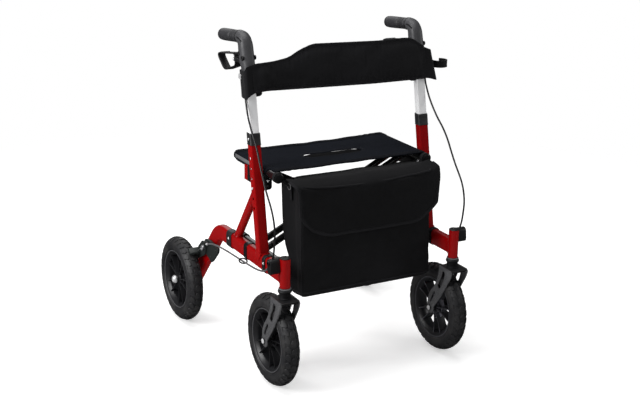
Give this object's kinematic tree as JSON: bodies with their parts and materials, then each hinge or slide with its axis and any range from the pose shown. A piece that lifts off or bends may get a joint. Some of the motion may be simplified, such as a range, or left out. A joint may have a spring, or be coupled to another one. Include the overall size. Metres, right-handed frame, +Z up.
{
  "type": "folding rollator walker",
  "caption": "Folding wheeled walker with a sling seat, a padded back band, height-adjustable handles with loop brakes, swivelling front forks and a hanging bag.",
  "frame": {"origin": "on the floor under the middle of the walker's box", "axes": "+Z up; -Y is the side of the swivelling front wheels, which the back band faces; +Y is where the person who pushes it walks; +X is the side with the cane clip"},
  "size_m": [0.701, 0.774, 0.9241],
  "materials": {
    "red_paint": "gloss",
    "black_paint": "satin",
    "grey_metal": "satin",
    "silver": "brushed",
    "black_plastic": "matte",
    "grey_plastic": "matte",
    "tyre": "matte",
    "grip_rubber": "ribbed, matte",
    "seat_cloth": "woven, matte",
    "black_cloth": "woven, matte"
  },
  "bodies": {
    "left_frame": {"left_lower_rail": "red_paint", "left_upright": "red_paint", "left_rear_brace": "red_paint", "left_head_tube": "red_paint", "left_seat_saddle": "red_paint", "left_collar": "grey_plastic", "left_front_pivot_clamp": "black_plastic", "left_rear_pivot_clamp": "grey_metal", "left_cable_guide": "black_plastic", "left_brake_bracket": "black_paint", "left_brake_cable": "black_plastic", "left_rear_axle": "silver", "bag": "black_cloth"},
    "cross_a": {"cross_frame_pair": "black_paint", "right_seat_rail": "black_paint", "centre_bolt": "silver", "seat_fabric": "seat_cloth", "seat_pull_strap": "black_cloth"},
    "cross_b": {"cross_frame_single": "black_paint", "left_seat_rail": "black_paint"},
    "right_frame": {"right_lower_rail": "red_paint", "right_upright": "red_paint", "right_rear_brace": "red_paint", "right_head_tube": "red_paint", "right_seat_saddle": "red_paint", "right_collar": "grey_plastic", "right_front_pivot_clamp": "black_plastic", "right_rear_pivot_clamp": "grey_metal", "right_cable_guide": "black_plastic", "right_brake_bracket": "black_paint", "right_brake_cable": "black_plastic", "right_rear_axle": "silver"},
    "left_caster": {"left_fork": "grey_metal", "left_caster_stem": "silver", "left_front_axle": "silver"},
    "left_front_wheel": {"left_front_tyre": "tyre", "left_front_rim": "black_plastic"},
    "left_rear_wheel": {"left_rear_tyre": "tyre", "left_rear_rim": "black_plastic"},
    "left_handle": {"left_inner_tube": "silver", "left_handle_body": "grey_plastic", "left_grip": "grip_rubber", "back_band": "black_cloth"},
    "left_lever": {"left_brake_lever": "black_plastic"},
    "left_brake": {"left_brake_arm": "black_paint"},
    "left_button": {"left_height_button": "silver"},
    "right_caster": {"right_fork": "grey_metal", "right_caster_stem": "silver", "right_front_axle": "silver"},
    "right_front_wheel": {"right_front_tyre": "tyre", "right_front_rim": "black_plastic"},
    "right_rear_wheel": {"right_rear_tyre": "tyre", "right_rear_rim": "black_plastic"},
    "right_handle": {"right_inner_tube": "silver", "right_handle_body": "grey_plastic", "right_grip": "grip_rubber", "cane_clip": "black_plastic"},
    "right_lever": {"right_brake_lever": "black_plastic"},
    "right_brake": {"right_brake_arm": "black_paint"},
    "right_button": {"right_height_button": "silver"}
  },
  "joints": [
    {"name": "fold", "type": "hinge", "parent": "left_frame", "child": "cross_a", "pos_m": [-0.2293, -0.11, 0.328], "axis": [0, -1, 0], "range_deg": [0, 45], "deforming": ["seat_fabric", "seat_pull_strap", "back_band", "bag"]},
    {"name": "cross_scissor", "type": "hinge", "parent": "cross_a", "child": "cross_b", "pos_m": [0, -0.1025, 0.4435], "axis": [0, -1, 0], "range_deg": [-90, 0]},
    {"name": "right_frame_pivot", "type": "hinge", "parent": "cross_b", "child": "right_frame", "pos_m": [0.2293, -0.11, 0.328], "axis": [0, -1, 0], "range_deg": [0, 45]},
    {"name": "left_caster_swivel", "type": "hinge", "parent": "left_frame", "child": "left_caster", "pos_m": [-0.262, -0.3225, 0.3], "axis": [0, 0, 1], "continuous": true},
    {"name": "left_front_wheel_spin", "type": "hinge", "parent": "left_caster", "child": "left_front_wheel", "pos_m": [-0.2632, -0.26, 0.127], "axis": [1, 0, 0], "continuous": true},
    {"name": "left_rear_wheel_spin", "type": "hinge", "parent": "left_frame", "child": "left_rear_wheel", "pos_m": [-0.3117, 0.26, 0.127], "axis": [1, 0, 0], "continuous": true},
    {"name": "left_handle_slide", "type": "slide", "parent": "left_frame", "child": "left_handle", "axis": [0, 0.1819, 0.9833], "range_m": [-0.053, 0.0795], "deforming": ["left_brake_cable"]},
    {"name": "left_lever_squeeze", "type": "hinge", "parent": "left_handle", "child": "left_lever", "pos_m": [-0.262, -0.043, 0.846], "axis": [1, 0, 0], "range_deg": [0, 12], "stiffness_Nm_per_rad": 2, "springref_deg": -2.86},
    {"name": "left_brake_press", "type": "hinge", "parent": "left_frame", "child": "left_brake", "pos_m": [-0.284, 0.151, 0.256], "axis": [-1, 0, 0], "range_deg": [0, 8.1]},
    {"name": "left_button_press", "type": "slide", "parent": "left_frame", "child": "left_button", "axis": [1, 0, 0], "range_m": [0, 0.003], "stiffness_N_per_m": 400, "springref_m": -0.001},
    {"name": "right_caster_swivel", "type": "hinge", "parent": "right_frame", "child": "right_caster", "pos_m": [0.262, -0.3225, 0.3], "axis": [0, 0, 1], "continuous": true},
    {"name": "right_front_wheel_spin", "type": "hinge", "parent": "right_caster", "child": "right_front_wheel", "pos_m": [0.2632, -0.26, 0.127], "axis": [1, 0, 0], "continuous": true},
    {"name": "right_rear_wheel_spin", "type": "hinge", "parent": "right_frame", "child": "right_rear_wheel", "pos_m": [0.3117, 0.26, 0.127], "axis": [1, 0, 0], "continuous": true},
    {"name": "right_handle_slide", "type": "slide", "parent": "right_frame", "child": "right_handle", "axis": [0, 0.1819, 0.9833], "range_m": [-0.053, 0.0795], "deforming": ["right_brake_cable"]},
    {"name": "right_lever_squeeze", "type": "hinge", "parent": "right_handle", "child": "right_lever", "pos_m": [0.262, -0.043, 0.846], "axis": [1, 0, 0], "range_deg": [0, 12], "stiffness_Nm_per_rad": 2, "springref_deg": -2.86},
    {"name": "right_brake_press", "type": "hinge", "parent": "right_frame", "child": "right_brake", "pos_m": [0.284, 0.151, 0.256], "axis": [-1, 0, 0], "range_deg": [0, 8.1]},
    {"name": "right_button_press", "type": "slide", "parent": "right_frame", "child": "right_button", "axis": [-1, 0, 0], "range_m": [0, 0.003], "stiffness_N_per_m": 400, "springref_m": -0.001}
  ],
  "couplings": [
    {"joint": "cross_scissor", "follows": "fold", "ratio": -2},
    {"joint": "right_frame_pivot", "follows": "fold", "ratio": 1},
    {"joint": "left_brake_press", "follows": "left_lever_squeeze", "ratio": 0.667},
    {"joint": "right_brake_press", "follows": "right_lever_squeeze", "ratio": 0.667},
    {"joint": "right_handle_slide", "follows": "left_handle_slide", "ratio": 1}
  ]
}
